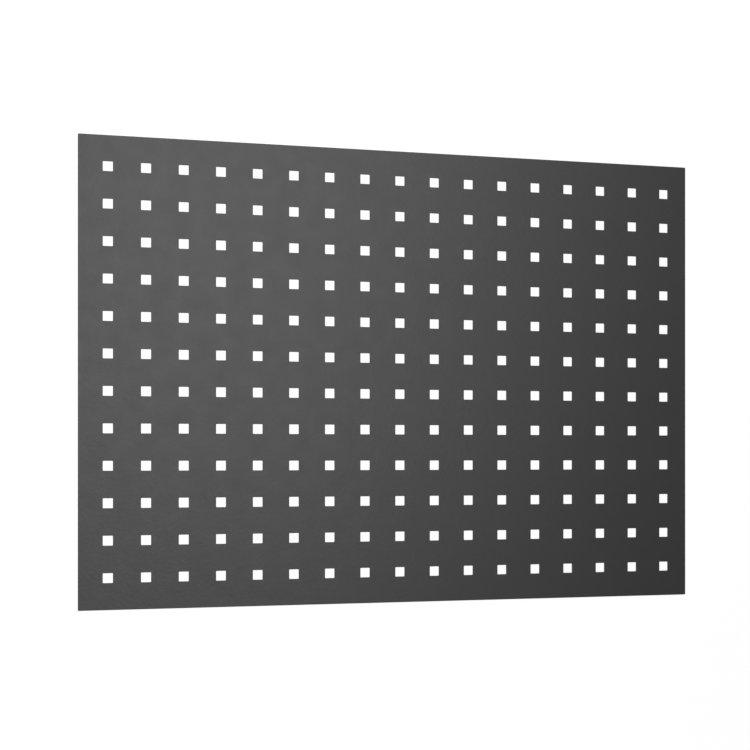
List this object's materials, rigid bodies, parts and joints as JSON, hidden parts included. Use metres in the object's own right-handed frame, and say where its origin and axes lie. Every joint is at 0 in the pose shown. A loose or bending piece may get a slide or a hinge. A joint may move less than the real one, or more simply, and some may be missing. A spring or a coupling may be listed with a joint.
{
  "type": "pegboard",
  "caption": "Flat rectangular sheet-steel pegboard in a dark grey powder coat, punched all over with a square grid of small square holes that take tool hooks.",
  "frame": {"origin": "centre of the back face, on the surface that the sheet lies on", "axes": "+X along the width, to the right as the front is seen; +Y along the height, towards the edge that is at the top when the panel hangs on a wall; +Z out of the front face"},
  "size_m": [0.664, 0.482, 0.0015],
  "materials": {
    "powder_coat": "satin"
  },
  "bodies": {
    "root": {"pegboard_panel": "powder_coat"}
  },
  "joints": []
}
